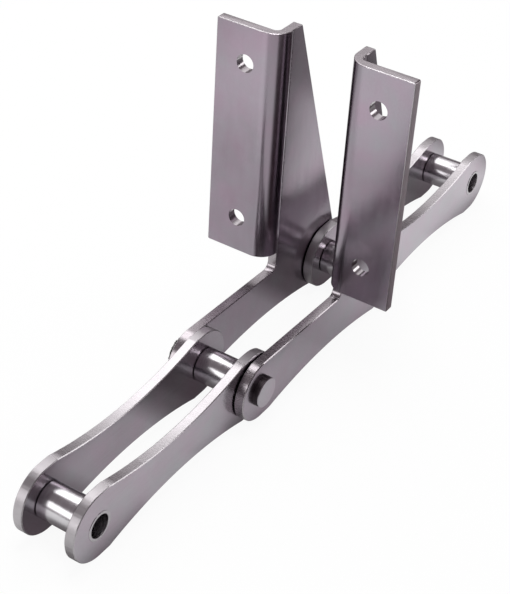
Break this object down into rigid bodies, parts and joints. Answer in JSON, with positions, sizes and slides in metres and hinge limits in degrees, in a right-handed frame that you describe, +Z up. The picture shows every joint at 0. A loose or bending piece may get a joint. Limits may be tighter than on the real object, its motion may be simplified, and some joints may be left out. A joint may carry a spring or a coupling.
{
  "type": "conveyor chain",
  "caption": "Length of long-pitch steel conveyor chain: a link with tall bent wings for carrying a flight, between two plain waisted roller links.",
  "frame": {"origin": "mid-pitch of the middle link, on the surface the chain stands on, midway between its two sides", "axes": "+X along the chain from its front link to its rear link, +Y across it towards its left side, +Z up, the way the wings stand"},
  "size_m": [0.33, 0.0902, 0.1419],
  "materials": {
    "inner_plate_steel": "satin, machined round the edges",
    "wing_plate_steel": "satin, as rolled",
    "bush_steel": "turned",
    "roller_steel": "ground and polished",
    "pin_steel": "turned head, riveted end"
  },
  "bodies": {
    "middle_link": {"wing_plate_left": "wing_plate_steel", "wing_plate_right": "wing_plate_steel", "front_pin": "pin_steel", "rear_pin": "pin_steel"},
    "front_link": {"front_inner_plate_left": "inner_plate_steel", "front_inner_plate_right": "inner_plate_steel", "bush_1": "bush_steel", "bush_2": "bush_steel"},
    "rear_link": {"rear_inner_plate_left": "inner_plate_steel", "rear_inner_plate_right": "inner_plate_steel", "bush_3": "bush_steel", "bush_4": "bush_steel"},
    "roller_1_body": {"roller_1": "roller_steel"},
    "roller_2_body": {"roller_2": "roller_steel"},
    "roller_3_body": {"roller_3": "roller_steel"},
    "roller_4_body": {"roller_4": "roller_steel"}
  },
  "joints": [
    {"name": "front_hinge", "type": "hinge", "parent": "middle_link", "child": "front_link", "pos_m": [-0.05, 0, 0.015], "axis": [0, 1, 0], "range_deg": [-90, 90]},
    {"name": "rear_hinge", "type": "hinge", "parent": "middle_link", "child": "rear_link", "pos_m": [0.05, 0, 0.015], "axis": [0, -1, 0], "range_deg": [-90, 90]},
    {"name": "roller_1_spin", "type": "hinge", "parent": "front_link", "child": "roller_1_body", "pos_m": [-0.15, 0, 0.015], "axis": [0, 1, 0], "continuous": true},
    {"name": "roller_2_spin", "type": "hinge", "parent": "front_link", "child": "roller_2_body", "pos_m": [-0.05, 0, 0.015], "axis": [0, 1, 0], "continuous": true},
    {"name": "roller_3_spin", "type": "hinge", "parent": "rear_link", "child": "roller_3_body", "pos_m": [0.05, 0, 0.015], "axis": [0, 1, 0], "continuous": true},
    {"name": "roller_4_spin", "type": "hinge", "parent": "rear_link", "child": "roller_4_body", "pos_m": [0.15, 0, 0.015], "axis": [0, 1, 0], "continuous": true}
  ]
}
